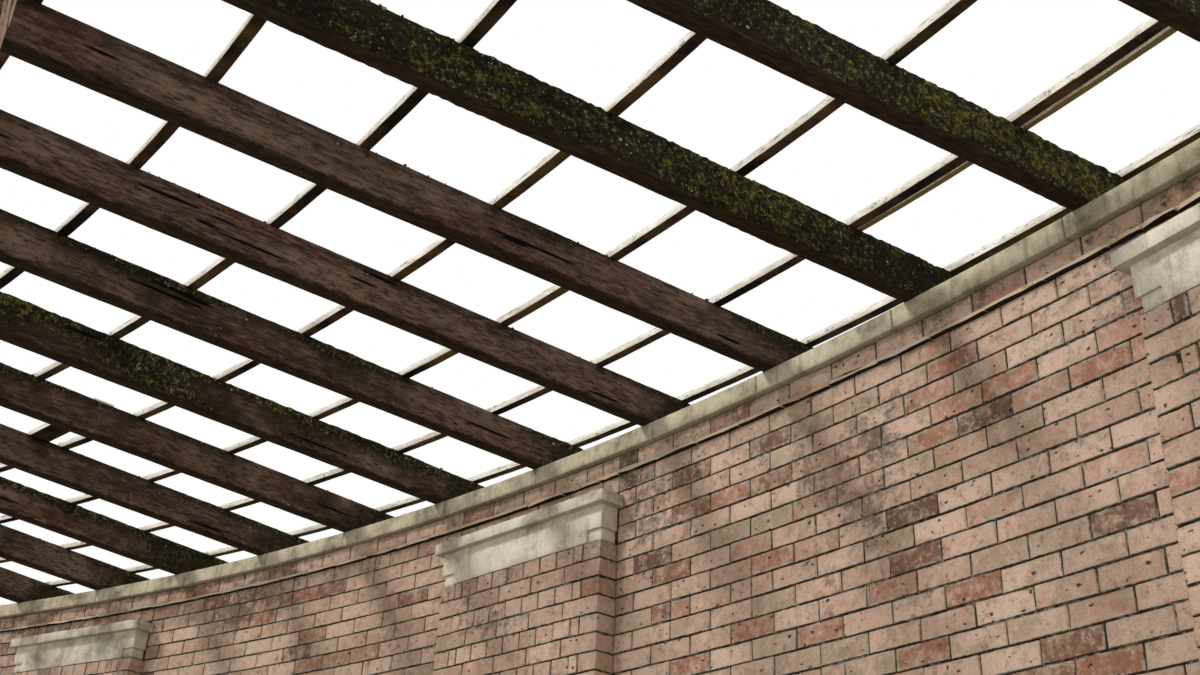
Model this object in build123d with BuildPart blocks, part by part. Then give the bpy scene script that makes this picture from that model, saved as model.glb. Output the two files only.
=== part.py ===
from build123d import *
import os
from math import asin, cos, degrees, radians, sin, tan

os.makedirs("parts", exist_ok=True)

# A garden pergola on a curved walk: a tall brick wall with pilasters and a stone coping on the
# outer side, brick piers with timber beams on the inner side, radial rafters over both, and thin
# battens laid along the walk on the rafters.
# Millimetres and degrees. The origin is the foot of the wall, on its centre line, half way along.
# +Y points out of the curve, +X along the walk, +Z up. Angles are counted from +Y, towards -X.

# Plan of the walk
wall_face_radius = 15145      # walk side of the brick wall, from the centre of the curve
walk_width = 3495             # from that face to the centres of the inner piers
bays = 3
rafters_per_bay = 5
rafter_step = 3.0             # degrees from one rafter to the next

# Brickwork
course_height = 85            # one brick and one bed joint
wall_course_count = 46        # below the thin tile course
crease_height = 18            # thin tile course near the top of the wall
wall_thickness = 350
pilaster_width = 1184
pilaster_projection = 115     # beyond each face of the wall
pier_width = 470

# Stonework
coping_height = 90
coping_overhang = 30
coping_arris_width = 6
cap_course_count = 1          # height of the projecting cap stone, in brick courses
frieze_course_count = 2       # height of the plain band under it
cap_overhang = 36
cap_front_drop = 27           # fall of the weathered top to its front edge
cap_slope_run = 118
lug_width = 95                # sunk block at each lower corner of the band
lug_height = 58
lug_depth = 12

# Timber
rafter_thickness = 68
rafter_depth = 180
rafter_overhang = 90          # past the coping's outer edge
rafter_inner_overhang = 300   # past the inner beam, over a pier
splay_run = 80                # cut under each rafter end
splay_rise = 90
timber_arris_width = 3
beam_width = 110
beam_depth = 220
beam_end_overhang = 330       # past the centre of the last pier
butt_gap = 5                  # open joint between two timbers end to end
batten_width = 44
batten_height = 33
batten_row_count = 8
first_batten_inset = 204      # from the coping's walk-side edge to the first batten's near edge
last_batten_inset = 97        # from the rafters' inner ends to the last batten's near edge
batten_pitch_growth = 6       # each row is set out this much wider than the one before
batten_steps = 2              # rafter steps that one batten spans
batten_end_overhang = 90      # past the last rafter's centre
second_lath_row = 2
second_lath_width = 26
second_lath_span = (-0.12, 2.03)   # rafters between which the second lath lies
second_lath_gap = 2           # from the batten, at the lath's far end
second_lath_skew = 0.45       # turned away from the batten towards its near end
repair_board_width = 113
repair_board_row = 5          # the board lies on the wall side of this row
repair_board_span = (7.01, 8.05)   # rafters between which it lies
repair_board_ratio = 0.79     # 0 against that row, 1 against the next one
repair_board_skew = -3.5

# Levels and radii that follow
crease_level = wall_course_count * course_height
coping_level = crease_level + crease_height + course_height
seat_level = coping_level + coping_height
rafter_top = seat_level + rafter_depth
cap_top = crease_level - course_height
cap_level = cap_top - cap_course_count * course_height
frieze_level = cap_level - frieze_course_count * course_height
cap_height = cap_top - cap_level
frieze_height = cap_level - frieze_level
beam_level = seat_level - beam_depth
pier_cap_level = beam_level - cap_height
pier_frieze_level = pier_cap_level - frieze_height
pier_line_radius = wall_face_radius - walk_width
wall_back_radius = wall_face_radius + wall_thickness
wall_line_radius = wall_face_radius + wall_thickness / 2
coping_edge_radius = wall_face_radius - coping_overhang
coping_back_radius = wall_back_radius + coping_overhang
rafter_outer_radius = coping_back_radius + rafter_overhang
rafter_inner_radius = pier_line_radius - beam_width / 2 - rafter_inner_overhang
bay_angle = rafters_per_bay * rafter_step
rafter_count = bays * rafters_per_bay + 1
centre = (0, -wall_line_radius)
clear = 4 * wall_thickness    # cutting shapes reach this far past what they cut


def rafter_angle(index):
    """Angle of a rafter, or of a point between two, from the middle of the walk."""
    return (index - (rafter_count - 1) / 2) * rafter_step


def pilaster_angle(index):
    return rafter_angle(index * rafters_per_bay)


def upright(radius, angle, height=0):
    """Level plane at a point of the plan, its x along the walk and its y out of the curve."""
    turn = radians(angle)
    origin = (-radius * sin(turn), radius * cos(turn) - wall_line_radius, height)
    return Plane(origin=origin, x_dir=(cos(turn), sin(turn), 0), z_dir=(0, 0, 1))


def radial(angle):
    """Standing plane along a radius, its x the radius and its y the height."""
    turn = radians(angle)
    return Plane(
        origin=(*centre, 0), x_dir=(-sin(turn), cos(turn), 0), z_dir=(cos(turn), sin(turn), 0)
    )


def save(part, name):
    part.label = name
    export_step(part, f"parts/{name}.step")


def ring_sector(inner_radius, outer_radius, start, end):
    """Flat face at ground level between two radii and two angles of the walk."""
    first, last = 90 + min(start, end), 90 + max(start, end)
    with BuildSketch() as sector:
        with BuildLine():
            outer = CenterArc(centre, outer_radius, first, last - first)
            inner = CenterArc(centre, inner_radius, first, last - first)
            Line(outer @ 0, inner @ 0)
            Line(outer @ 1, inner @ 1)
        make_face()
    return sector.sketch


# Brick wall, one panel for each bay, ending against the sides of the pilasters
def wall_panel(index):
    ends = (pilaster_angle(index), pilaster_angle(index + 1))
    with BuildPart() as panel:
        with BuildSketch():
            add(ring_sector(wall_face_radius, wall_back_radius, *ends))
            with Locations([upright(wall_line_radius, end).location for end in ends]):
                Rectangle(pilaster_width, clear, mode=Mode.SUBTRACT)
        extrude(amount=coping_level)
    return panel.part


# Pilaster: a shaft that stands out of both faces of the wall, with the wall itself above it
def pilaster(index):
    angle = pilaster_angle(index)
    half_turn = degrees(asin(pilaster_width / wall_face_radius))
    with BuildPart() as pier:
        with BuildSketch(upright(wall_line_radius, angle)):
            Rectangle(pilaster_width, wall_thickness + 2 * pilaster_projection)
        extrude(amount=frieze_level)
        with BuildSketch(Plane.XY.offset(frieze_level)):
            add(ring_sector(wall_face_radius, wall_back_radius, angle - half_turn, angle + half_turn))
            with Locations(upright(wall_line_radius, angle).location):
                Rectangle(pilaster_width, clear, mode=Mode.INTERSECT)
        extrude(amount=coping_level - frieze_level)
    return pier.part


def cap_stone(plane, width, depth, lug_return, faces):
    """Block with a plain band under a projecting, weathered cap.

    plane is level, at the middle of the block's foot. The lower corners of the band are sunk,
    on its front over lug_width and on its side over lug_return. faces holds -1 for the front
    that looks at the walk, +1 for the opposite one, or both.
    """
    top_width = width + 2 * (cap_overhang - cap_slope_run)
    top_depth = depth + 2 * (cap_overhang - cap_slope_run)
    fascia_height = cap_height - cap_front_drop
    with BuildPart() as stone:
        with BuildSketch(plane):
            Rectangle(width, depth)
        extrude(amount=frieze_height)
        with BuildSketch(plane.offset(frieze_height)):
            Rectangle(width + 2 * cap_overhang, depth + 2 * cap_overhang)
        extrude(amount=fascia_height)
        with BuildSketch(plane.offset(frieze_height + fascia_height)):
            Rectangle(width + 2 * cap_overhang, depth + 2 * cap_overhang)
        with BuildSketch(plane.offset(frieze_height + cap_height)):
            Rectangle(top_width, top_depth)
        loft()
        for face in faces:
            for side in (-1, 1):
                corner = (side * width / 2, face * depth / 2)
                with BuildSketch(plane):
                    with Locations((corner[0], corner[1] - face * lug_depth / 2)):
                        Rectangle(2 * lug_width, lug_depth)
                    with Locations((corner[0] - side * lug_depth / 2, corner[1])):
                        Rectangle(lug_depth, 2 * lug_return)
                extrude(amount=lug_height, mode=Mode.SUBTRACT)
    return stone.part


# Caps of the pilasters, a stone on each face of the wall, cut to the wall's curve at the back
def pilaster_caps(index):
    angle = pilaster_angle(index)
    depth = wall_thickness + 2 * pilaster_projection
    foot = upright(wall_line_radius, angle, frieze_level)
    block = cap_stone(foot, pilaster_width, depth, pilaster_projection, (-1, 1))
    half_turn = 2 * degrees(asin(pilaster_width / wall_face_radius))
    with BuildPart() as caps:
        add(block)
        with BuildSketch(Plane.XY.offset(frieze_level)):
            add(ring_sector(wall_face_radius, wall_back_radius, angle - half_turn, angle + half_turn))
        extrude(amount=frieze_height + cap_height, mode=Mode.SUBTRACT)
    return caps.part


# Stone coping, one length for each bay
def coping(index):
    ends = [pilaster_angle(index), pilaster_angle(index + 1)]
    past_end = degrees((pilaster_width / 2 + coping_overhang) / wall_line_radius)
    if index == 0:
        ends[0] -= past_end
    if index == bays - 1:
        ends[1] += past_end
    with BuildPart() as stones:
        with BuildSketch(Plane.XY.offset(coping_level)):
            add(ring_sector(coping_edge_radius, coping_back_radius, *ends))
        extrude(amount=coping_height)
        rims = stones.edges().filter_by(GeomType.CIRCLE)
        chamfer(rims, length=coping_arris_width)
    return stones.part


# Inner piers and their caps
def inner_pier(index):
    with BuildPart() as pier:
        with BuildSketch(upright(pier_line_radius, pilaster_angle(index))):
            Rectangle(pier_width, pier_width)
        extrude(amount=pier_frieze_level)
    return pier.part


def inner_pier_cap(index):
    foot = upright(pier_line_radius, pilaster_angle(index), pier_frieze_level)
    return cap_stone(foot, pier_width, pier_width, lug_width, (-1, 1))


# Beam along the inner piers, a straight timber for each bay, end to end over the piers
def inner_beam(index):
    half_bay = radians(bay_angle / 2)
    half_chord = pier_line_radius * sin(half_bay)
    cut_back = butt_gap / 2 + beam_width / 2 * tan(half_bay)
    start = -half_chord + cut_back
    end = half_chord - cut_back
    if index == 0:
        end = half_chord + beam_end_overhang
    if index == bays - 1:
        start = -half_chord - beam_end_overhang
    middle = (pilaster_angle(index) + pilaster_angle(index + 1)) / 2
    with BuildPart() as beam:
        with BuildSketch(upright(pier_line_radius * cos(half_bay), middle, beam_level)):
            with Locations(((start + end) / 2, 0)):
                Rectangle(end - start, beam_width)
        extrude(amount=beam_depth)
        chamfer(beam.edges(), length=timber_arris_width)
    return beam.part


# Rafter: a deep plank on edge, its underside splayed at both ends
def rafter(index):
    with BuildPart() as plank:
        with BuildSketch(radial(rafter_angle(index))):
            with BuildLine():
                Polyline(
                    (rafter_inner_radius + splay_run, seat_level),
                    (rafter_outer_radius - splay_run, seat_level),
                    (rafter_outer_radius, seat_level + splay_rise),
                    (rafter_outer_radius, rafter_top),
                    (rafter_inner_radius, rafter_top),
                    (rafter_inner_radius, seat_level + splay_rise),
                    close=True,
                )
            make_face()
        extrude(amount=rafter_thickness / 2, both=True)
        faces = plank.faces().sort_by(SortBy.AREA)[-2:]
        chamfer(faces[0].edges() + faces[1].edges(), length=timber_arris_width)
    return plank.part


def bent_batten(near_edge, start, end, width=batten_width):
    """Batten on the rafters, bent round the walk between two angles."""
    with BuildPart() as piece:
        with BuildSketch(Plane.XY.offset(rafter_top)):
            add(ring_sector(near_edge, near_edge + width, start, end))
        extrude(amount=batten_height)
    return piece.part


def second_lath(near_edge):
    """Thinner lath beside a batten, swung away from it about its far end."""
    start, end = (rafter_angle(place) for place in second_lath_span)
    lath_edge = near_edge + batten_width + second_lath_gap
    lath = bent_batten(lath_edge, start, end, second_lath_width)
    hinge = upright(lath_edge, end).origin
    return lath.rotate(Axis(hinge, (0, 0, 1)), second_lath_skew)


def repair_board(near_edge, next_edge):
    """Short straight board, laid askew between the battens of two rows."""
    first, last = repair_board_span
    skew = radians(abs(repair_board_skew))
    board_length = near_edge * radians((last - first) * rafter_step)
    reach = repair_board_width / 2 * cos(skew) + board_length / 2 * sin(skew)
    closest = near_edge + batten_width + reach
    farthest = next_edge - reach
    board_radius = closest + repair_board_ratio * (farthest - closest)
    with BuildPart() as board:
        with BuildSketch(upright(board_radius, rafter_angle((first + last) / 2), rafter_top)):
            Rectangle(board_length, repair_board_width, rotation=repair_board_skew)
        extrude(amount=batten_height)
    return board.part


def batten_rows():
    """Near edges of the rows of battens, from the wall to the inner ends of the rafters."""
    first = coping_edge_radius + first_batten_inset
    last = rafter_inner_radius + last_batten_inset
    gaps = batten_row_count - 1
    rows = [first]
    for gap in range(gaps):
        growth = (gap - (gaps - 1) / 2) * batten_pitch_growth
        rows.append(rows[-1] - (first - last) / gaps - growth)
    return rows


# One row of battens round the walk, in lengths that meet over a rafter
def batten_row(number, row_edges):
    near_edge = row_edges[number - 1]
    last_rafter = rafter_count - 1
    past_end = degrees(batten_end_overhang / near_edge)
    half_gap = degrees(butt_gap / 2 / near_edge)
    first_joint = 1 + (number + 1) % batten_steps
    joints = [0] + list(range(first_joint, last_rafter, batten_steps)) + [last_rafter]
    with BuildPart() as battens:
        for first, last in zip(joints[:-1], joints[1:]):
            start = rafter_angle(first) + (-past_end if first == 0 else half_gap)
            end = rafter_angle(last) + (past_end if last == last_rafter else -half_gap)
            add(bent_batten(near_edge, start, end))
        if number == second_lath_row:
            add(second_lath(near_edge))
        if number == repair_board_row:
            add(repair_board(near_edge, row_edges[number - 2]))
    return battens.part


for bay in range(bays):
    save(wall_panel(bay), f"wall_panel_{bay + 1}")
    save(coping(bay), f"coping_{bay + 1}")
    save(inner_beam(bay), f"inner_beam_{bay + 1}")

pier_caps = []
for post in range(bays + 1):
    save(pilaster(post), f"pilaster_{post + 1}")
    save(pilaster_caps(post), f"pilaster_caps_{post + 1}")
    save(inner_pier(post), f"inner_pier_{post + 1}")
    pier_caps.append(inner_pier_cap(post))
with BuildPart() as inner_pier_caps:
    for stone in pier_caps:
        add(stone)
save(inner_pier_caps.part, "inner_pier_caps")

for number in range(rafter_count):
    save(rafter(number), f"rafter_{number + 1}")

row_edges = batten_rows()
for number in range(1, batten_row_count + 1):
    save(batten_row(number, row_edges), f"batten_row_{number}")
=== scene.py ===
"""Dresses the frame of a curved garden pergola with bricks, stone, aged timber and moss."""

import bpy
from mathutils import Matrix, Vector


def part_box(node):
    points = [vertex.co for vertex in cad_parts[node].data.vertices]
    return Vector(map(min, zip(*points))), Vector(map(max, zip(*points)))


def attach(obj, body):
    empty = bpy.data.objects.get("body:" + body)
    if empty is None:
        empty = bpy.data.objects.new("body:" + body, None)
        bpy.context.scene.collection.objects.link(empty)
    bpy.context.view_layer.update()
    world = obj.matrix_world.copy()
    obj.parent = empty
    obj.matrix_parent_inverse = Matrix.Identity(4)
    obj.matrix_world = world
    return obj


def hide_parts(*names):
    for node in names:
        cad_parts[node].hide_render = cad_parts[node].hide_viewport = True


bl_info = {
    "name": "Curved Garden Pergola",
    "version": (1, 0, 0),
    "blender": (4, 5, 0),
    "location": "View3D > Sidebar > Pergola",
    "description": "Bricks, stones, timbers and moss on the frame of a curved garden pergola",
    "category": "Object",
}

import math
import random
from math import cos, pi, radians, sin

import bmesh
import bpy
import numpy as np
from bpy.props import FloatProperty, FloatVectorProperty, PointerProperty
from mathutils import Matrix, Vector, noise

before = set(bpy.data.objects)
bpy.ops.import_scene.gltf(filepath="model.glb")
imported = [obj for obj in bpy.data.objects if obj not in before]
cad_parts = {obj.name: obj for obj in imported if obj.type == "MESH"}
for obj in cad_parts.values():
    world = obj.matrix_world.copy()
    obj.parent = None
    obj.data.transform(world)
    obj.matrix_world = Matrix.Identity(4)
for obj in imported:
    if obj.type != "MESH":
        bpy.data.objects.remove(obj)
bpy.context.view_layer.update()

MM = 0.001
WELD = 1e-5  # metres under which two points are one
FLAT = radians(0.3)  # faces that meet at less than this are one flat face
SHARP = radians(25)  # edges that turn by more than this are arrises
DOWN, UP = Vector((0, 0, -1)), Vector((0, 0, 1))

noise.seed_set(1)  # gives vector noise, and so the wear, the same pattern in each run


def linear(hex_colour):
    """Linear RGBA from an sRGB hex value such as "#b07a68"."""
    channels = [int(hex_colour[i:i + 2], 16) / 255 for i in (1, 3, 5)]
    return [c / 12.92 if c <= 0.04045 else ((c + 0.055) / 1.055) ** 2.4 for c in channels] + [1.0]


def colour(hex_colour, name):
    """Colour property of a material."""
    return FloatVectorProperty(name=name, default=linear(hex_colour), size=4, subtype="COLOR",
                               min=0, max=1)


def length(metres, name):
    """Length property in metres."""
    return FloatProperty(name=name, default=metres, unit="LENGTH", subtype="DISTANCE", precision=4)


def factor(value, name):
    """Plain number property."""
    return FloatProperty(name=name, default=value)


# Plan of the walk, read from the frame

def corners(node):
    """All corners of a CAD node as an array, in metres."""
    return np.array([v.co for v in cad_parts[node].data.vertices], float)


def merged(node):
    """A CAD node's mesh as a bmesh, its loose triangles joined and its flat faces whole."""
    bm = bmesh.new()
    bm.from_mesh(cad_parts[node].data)
    bmesh.ops.remove_doubles(bm, verts=bm.verts, dist=WELD)
    bmesh.ops.dissolve_limit(bm, angle_limit=FLAT, verts=bm.verts, edges=bm.edges)
    return bm


def solids(node):
    """The separate solids of a CAD node, each a bmesh."""
    bm = merged(node)
    found, left = [], dict.fromkeys(bm.verts)
    while left:
        group, reached = set(), [left.popitem()[0]]
        while reached:
            vert = reached.pop()
            group.add(vert)
            for edge in vert.link_edges:
                other = edge.other_vert(vert)
                if other in left:
                    del left[other]
                    reached.append(other)
        single = bm.copy()
        spare = [twin for vert, twin in zip(bm.verts, single.verts) if vert not in group]
        bmesh.ops.delete(single, geom=spare, context="VERTS")
        found.append(single)
    bm.free()
    return found


def lengthwise(points, outward=False):
    """Matrix and size of the box round a straight timber, its x along the timber."""
    flat = points[:, :2] - points[:, :2].mean(0)
    direction = np.linalg.svd(flat, full_matrices=False)[2][0]
    sense = direction @ (points[:, :2].mean(0) - (0, CENTRE_Y)) if outward else direction[0]
    direction = direction * (1 if sense > 0 else -1)
    along = np.array([direction[0], direction[1], 0])
    across = np.array([-direction[1], direction[0], 0])
    axes = np.stack([along, across, [0, 0, 1]])
    local = points @ axes.T
    low, high = local.min(0), local.max(0)
    matrix = Matrix(axes.T.tolist()).to_4x4()
    matrix.translation = Vector(((low + high) / 2) @ axes)
    return matrix, high - low


def curve_centre_y():
    """Where the line of the first rafter crosses the middle axis: the centre of the curve."""
    matrix, _ = lengthwise(corners("rafter_1"))
    middle, along = matrix.translation, matrix.col[0]
    return middle.y - along.y / along.x * middle.x


def nodes(start, *leave_out):
    """Names of the nodes that begin with some words, in the order of their numbers."""
    found = [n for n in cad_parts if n.startswith(start) and not any(w in n for w in leave_out)]
    return sorted(found, key=lambda n: int(n.split("_")[-1]) if n[-1].isdigit() else 0)


CENTRE_Y = curve_centre_y()
CENTRE = Vector((0, CENTRE_Y))
RAFTERS, BATTENS, BEAMS = nodes("rafter_"), nodes("batten_row_"), nodes("inner_beam_")
PANELS, PILASTERS, PIERS = nodes("wall_panel_"), nodes("pilaster_", "caps"), nodes("inner_pier_", "caps")
CAPS, COPINGS = nodes("pilaster_caps_") + ["inner_pier_caps"], nodes("coping_")
COPING_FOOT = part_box(COPINGS[0])[0].z
RAFTER_STEP = radians(3)  # between two rafters, seen from the centre of the curve


def polar(points):
    """Radius and angle of points in plan, from the centre of the walk's curve."""
    rel = points[:, :2] - np.array(CENTRE)
    return np.hypot(rel[:, 0], rel[:, 1]), np.arctan2(rel[:, 1], rel[:, 0])


def upright_axes(middle):
    """Upright axes at a place in plan, the x along the walk and the y out of the curve."""
    out = (Vector(middle[:2]) - CENTRE).normalized()
    matrix = Matrix(((out.y, out.x, 0), (-out.x, out.y, 0), (0, 0, 1))).to_4x4()
    matrix.translation = Vector((*middle[:2], 0))
    return matrix


# Meshes

def mesh_of(bm, name):
    """Mesh of a bmesh, which is freed."""
    mesh = bpy.data.meshes.new(name)
    bm.to_mesh(mesh)
    bm.free()
    return mesh


def put_in_scene(name, data):
    """Object of a mesh, a lamp or a camera, in the scene."""
    made = bpy.data.objects.new(name, data)
    bpy.context.scene.collection.objects.link(made)
    return made


def finish_piece(name, shape, material, smooth_angle=None, replaces=()):
    """Makes a piece from a bmesh or a mesh, gives it its material and lets it ride on the frame."""
    mesh = mesh_of(shape, name) if isinstance(shape, bmesh.types.BMesh) else shape
    if smooth_angle is not None:
        mesh.polygons.foreach_set("use_smooth", [True] * len(mesh.polygons))
        mesh.set_sharp_from_angle(angle=radians(smooth_angle))
    piece = put_in_scene(name, mesh)
    mesh.materials.append(material)
    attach(piece, "root")
    if replaces:
        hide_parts(*replaces)
    return piece


def append(bm, other):
    """Adds one bmesh to another, through a mesh, and frees the one that is added."""
    mesh = mesh_of(other, "joined")
    bm.from_mesh(mesh)
    bpy.data.meshes.remove(mesh)


def cut(bm, point, normal, **settings):
    """Cuts new edges along a plane."""
    geom = bm.verts[:] + bm.edges[:] + bm.faces[:]
    bmesh.ops.bisect_plane(bm, geom=geom, dist=WELD, plane_co=point, plane_no=normal, **settings)


def round_edges(bm, edges, width, segments=1):
    """Wears edges off to a width."""
    bmesh.ops.bevel(bm, geom=edges, offset=width, offset_type="OFFSET", segments=segments,
                    profile=0.5, affect="EDGES", material=-1)


def cut_up(bm, steps, axes=None):
    """Cuts a solid along three axes so that no stretch is longer than the given steps."""
    axes = axes or Matrix.Identity(3)
    for axis, step in zip(axes.transposed(), steps):
        reach = [v.co.dot(axis) for v in bm.verts]
        low, high = min(reach), max(reach)
        count = max(1, math.ceil((high - low) / step))
        for i in range(1, count):
            cut(bm, axis * (low + (high - low) * i / count), axis)


def copies(name, shapes, variants, matrices, **marks):
    """One mesh of many copies of small shapes that share their faces.

    shapes are arrays of corners by variant, and the faces of the first. Each copy has a matrix.
    The marks are kept on the points for the material, three numbers by copy or by point.
    """
    points, faces = shapes
    placed = np.einsum("nij,nvj->nvi", matrices[:, :3, :3], points[variants])
    placed += matrices[:, None, :3, 3]
    count, per_shape = len(matrices), points.shape[1]
    loops = np.concatenate([np.array(f) for f in faces])
    sizes = np.array([len(f) for f in faces])
    starts = np.concatenate([[0], np.cumsum(sizes)[:-1]])
    first_point = np.arange(count)[:, None] * per_shape
    first_loop = np.arange(count)[:, None] * len(loops)
    mesh = bpy.data.meshes.new(name)
    mesh.vertices.add(count * per_shape)
    mesh.loops.add(count * len(loops))
    mesh.polygons.add(count * len(faces))
    mesh.vertices.foreach_set("co", placed.astype(np.float32).ravel())
    mesh.loops.foreach_set("vertex_index", (first_point + loops).astype(np.int32).ravel())
    mesh.polygons.foreach_set("loop_start", (first_loop + starts).astype(np.int32).ravel())
    mesh.update(calc_edges=True)
    for label, values in marks.items():
        values = np.broadcast_to(values[:, None] if values.ndim == 2 else values, placed.shape)
        layer = mesh.attributes.new(label, "FLOAT_VECTOR", "POINT")
        layer.data.foreach_set("vector", values.astype(np.float32).ravel())
    return mesh


def shape_arrays(bmeshes):
    """Corners of several bmeshes with the same faces, and those faces. Frees the bmeshes."""
    bmeshes[0].verts.index_update()
    faces = [[v.index for v in f.verts] for f in bmeshes[0].faces]
    points = np.array([[v.co[:] for v in bm.verts] for bm in bmeshes], float)
    for bm in bmeshes:
        bm.free()
    return points, faces


# Materials

BLACK = (0, 0, 0, 1)
MATT_SPECULAR = 0.1  # these dry, rough surfaces hardly shine
PATTERN_SHIFT = (37, 53, 71)  # metres at most between the places where two bricks read their patterns
TOP_DARKENING_HEIGHT = 4.2  # height that the darkening towards the top of the wall is measured from, in metres


def add(tree, kind, inputs=None, **settings):
    """Adds a node with its settings, and sets or links its inputs by name or number."""
    node = tree.nodes.new(kind)
    for key, value in settings.items():
        setattr(node, key, value)
    for key, value in (inputs or {}).items():
        socket = node.inputs[key]
        if isinstance(value, bpy.types.NodeSocket):
            tree.links.new(value, socket)
        else:
            socket.default_value = value
    return node


class Look:
    """A material under work: its tree, its shader, its body colour and where patterns are read."""

    def __init__(self, name, roughness, place="Object"):
        self.material = bpy.data.materials.new(name)
        self.material.use_nodes = True
        self.tree = self.material.node_tree
        self.shader = self.tree.nodes["Principled BSDF"]
        self.shader.inputs["Roughness"].default_value = roughness
        self.shader.inputs["Specular IOR Level"].default_value = MATT_SPECULAR
        if place == "Object":
            self.place = add(self.tree, "ShaderNodeTexCoord").outputs["Object"]
        else:
            self.place = self.mark(place)
        normal = add(self.tree, "ShaderNodeNewGeometry").outputs["Normal"]
        self.facing_up = self.parts(normal)["Z"]
        self.body = None

    def mark(self, name):
        return add(self.tree, "ShaderNodeAttribute", attribute_name=name).outputs["Vector"]

    def parts(self, vector):
        return add(self.tree, "ShaderNodeSeparateXYZ", {0: vector}).outputs

    def math(self, operation, first, second=0.0):
        node = add(self.tree, "ShaderNodeMath", {0: first, 1: second}, operation=operation)
        return node.outputs[0]

    def vector(self, operation, first, second):
        node = add(self.tree, "ShaderNodeVectorMath", {0: first, 1: second}, operation=operation)
        return node.outputs[0]

    def scaled(self, vector, scale):
        return add(self.tree, "ShaderNodeMapping", {"Vector": vector, "Scale": scale}).outputs[0]

    def noise(self, size, detail=5.0, roughness=0.6, place=None):
        """Noise whose main lumps are about one size, in metres."""
        inputs = {"Vector": place or self.place, "Scale": 1 / size, "Detail": detail,
                  "Roughness": roughness}
        return add(self.tree, "ShaderNodeTexNoise", inputs).outputs["Fac"]

    def cells(self, size, place=None):
        """Scattered cells of about one size: distance to the nearest one, and its own colour."""
        inputs = {"Vector": place or self.place, "Scale": 1 / size}
        return add(self.tree, "ShaderNodeTexVoronoi", inputs).outputs

    def ramp(self, value, *stops):
        """Colour or grey ramp. Each stop is a place and a colour, or a place and a grey level."""
        node = add(self.tree, "ShaderNodeValToRGB", {"Fac": value})
        elements = node.color_ramp.elements
        for number, (place, shade) in enumerate(stops):
            element = elements[number] if number < 2 else elements.new(place)
            element.position = place
            element.color = shade if hasattr(shade, "__len__") else (shade, shade, shade, 1)
        return node.outputs["Color"]

    def mix(self, share, first, second):
        """Mix of two colours or heights."""
        inputs = {0: share, 6: first, 7: second}
        return add(self.tree, "ShaderNodeMix", inputs, data_type="RGBA").outputs[2]

    def coat(self, shade, share, *stops):
        """Lays a colour over the body, by a share or by the ramp of a value."""
        self.body = self.mix(self.ramp(share, *stops) if stops else share, self.body, shade)

    def vary(self, value, pattern, share=1.0):
        """A value with the ups and downs of a pattern."""
        swing = self.math("MULTIPLY", self.math("SUBTRACT", pattern, 0.5), share)
        return self.math("ADD", value, swing)

    def spots(self, size, radius, share, place=None):
        """Mask of small round spots, in only a share of the cells they could lie in."""
        outputs = self.cells(size, place)
        round_spot = self.ramp(outputs["Distance"], (radius * 0.6, 1.0), (radius, 0.0))
        own = self.parts(outputs["Color"])["X"]
        return self.math("MULTIPLY", round_spot, self.math("LESS_THAN", own, share))

    def done(self, height, depth):
        """Links the body colour and a bump of real depth, and gives the material."""
        self.tree.links.new(self.body, self.shader.inputs["Base Color"])
        bump = add(self.tree, "ShaderNodeBump", {"Height": height, "Distance": depth})
        self.tree.links.new(bump.outputs["Normal"], self.shader.inputs["Normal"])
        return self.material


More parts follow.
